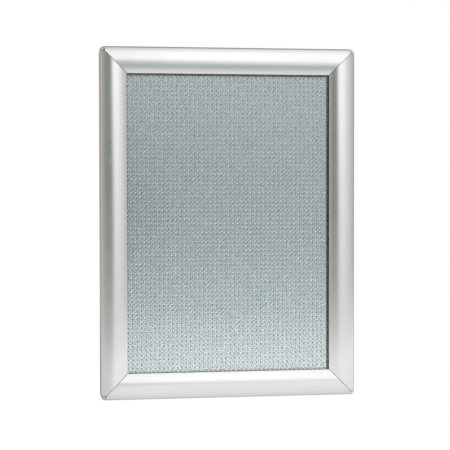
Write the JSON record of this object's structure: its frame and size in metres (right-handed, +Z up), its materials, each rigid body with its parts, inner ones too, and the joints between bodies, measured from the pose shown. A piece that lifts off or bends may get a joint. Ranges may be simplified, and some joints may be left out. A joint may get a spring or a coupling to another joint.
{
  "type": "poster frame",
  "caption": "Wall poster frame for an A4 sheet: hinged snap-open aluminium sides around a clear-covered dotted insert on a black backing panel.",
  "frame": {"origin": "centre of the frame's back, which is also the centre of the wall screws' pattern, in the plane that lies on the wall", "axes": "+Z up the frame, +X to the right as seen from the front, -Y out of the front, +Y into the wall"},
  "size_m": [0.241, 0.0117, 0.328],
  "materials": {
    "flap_aluminium": "satin silver anodised, drawn along its length",
    "base_aluminium": "mill finish extrusion",
    "key_steel": "zinc plated",
    "spring_steel": "bright spring steel",
    "tip_plastic": "light grey moulded",
    "black_backing": "smooth black sheet",
    "dotted_sheet": "pale blue-grey sheet embossed with fine dots",
    "clear_cover": "clear, slightly reflective"
  },
  "bodies": {
    "frame": {"base_profile_top": "base_aluminium", "base_profile_bottom": "base_aluminium", "base_profile_left": "base_aluminium", "base_profile_right": "base_aluminium", "corner_key_top_left": "key_steel", "corner_key_top_right": "key_steel", "corner_key_bottom_left": "key_steel", "corner_key_bottom_right": "key_steel", "corner_tip_top_left": "tip_plastic", "corner_tip_top_right": "tip_plastic", "corner_tip_bottom_left": "tip_plastic", "corner_tip_bottom_right": "tip_plastic", "back_panel": "black_backing", "textured_insert": "dotted_sheet", "cover_sheet": "clear_cover"},
    "flap_top": {"flap_top": "flap_aluminium"},
    "springs_top": {"snap_spring_top_1": "spring_steel", "snap_spring_top_2": "spring_steel"},
    "flap_bottom": {"flap_bottom": "flap_aluminium"},
    "springs_bottom": {"snap_spring_bottom_1": "spring_steel", "snap_spring_bottom_2": "spring_steel"},
    "flap_left": {"flap_left": "flap_aluminium"},
    "springs_left": {"snap_spring_left_1": "spring_steel", "snap_spring_left_2": "spring_steel"},
    "flap_right": {"flap_right": "flap_aluminium"},
    "springs_right": {"snap_spring_right_1": "spring_steel", "snap_spring_right_2": "spring_steel"}
  },
  "joints": [
    {"name": "flap_top_hinge", "type": "hinge", "parent": "frame", "child": "flap_top", "pos_m": [0, -0.0076, 0.1611], "axis": [-1, 0, 0], "range_deg": [0, 90], "stiffness_Nm_per_rad": 0.02, "springref_deg": -28.65, "deforming": ["snap_spring_top_1", "snap_spring_top_2"]},
    {"name": "flap_bottom_hinge", "type": "hinge", "parent": "frame", "child": "flap_bottom", "pos_m": [0, -0.0076, -0.1611], "axis": [1, 0, 0], "range_deg": [0, 90], "stiffness_Nm_per_rad": 0.02, "springref_deg": -28.65, "deforming": ["snap_spring_bottom_1", "snap_spring_bottom_2"]},
    {"name": "flap_left_hinge", "type": "hinge", "parent": "frame", "child": "flap_left", "pos_m": [-0.1176, -0.0076, 0], "axis": [0, 0, -1], "range_deg": [0, 90], "stiffness_Nm_per_rad": 0.02, "springref_deg": -28.65, "deforming": ["snap_spring_left_1", "snap_spring_left_2"]},
    {"name": "flap_right_hinge", "type": "hinge", "parent": "frame", "child": "flap_right", "pos_m": [0.1176, -0.0076, 0], "axis": [0, 0, 1], "range_deg": [0, 90], "stiffness_Nm_per_rad": 0.02, "springref_deg": -28.65, "deforming": ["snap_spring_right_1", "snap_spring_right_2"]},
    {"name": "springs_top_rock", "type": "hinge", "parent": "frame", "child": "springs_top", "pos_m": [0, -0.00422, 0.15088], "axis": [-1, 0, 0], "range_deg": [-34.5, 0]},
    {"name": "springs_bottom_rock", "type": "hinge", "parent": "frame", "child": "springs_bottom", "pos_m": [0, -0.00422, -0.15088], "axis": [1, 0, 0], "range_deg": [-34.5, 0]},
    {"name": "springs_left_rock", "type": "hinge", "parent": "frame", "child": "springs_left", "pos_m": [-0.10738, -0.00422, 0], "axis": [0, 0, -1], "range_deg": [-34.5, 0]},
    {"name": "springs_right_rock", "type": "hinge", "parent": "frame", "child": "springs_right", "pos_m": [0.10738, -0.00422, 0], "axis": [0, 0, 1], "range_deg": [-34.5, 0]}
  ],
  "couplings": [
    {"joint": "springs_top_rock", "follows": "flap_top_hinge", "ratio": -0.38242},
    {"joint": "springs_bottom_rock", "follows": "flap_bottom_hinge", "ratio": -0.38242},
    {"joint": "springs_left_rock", "follows": "flap_left_hinge", "ratio": -0.38242},
    {"joint": "springs_right_rock", "follows": "flap_right_hinge", "ratio": -0.38242}
  ]
}
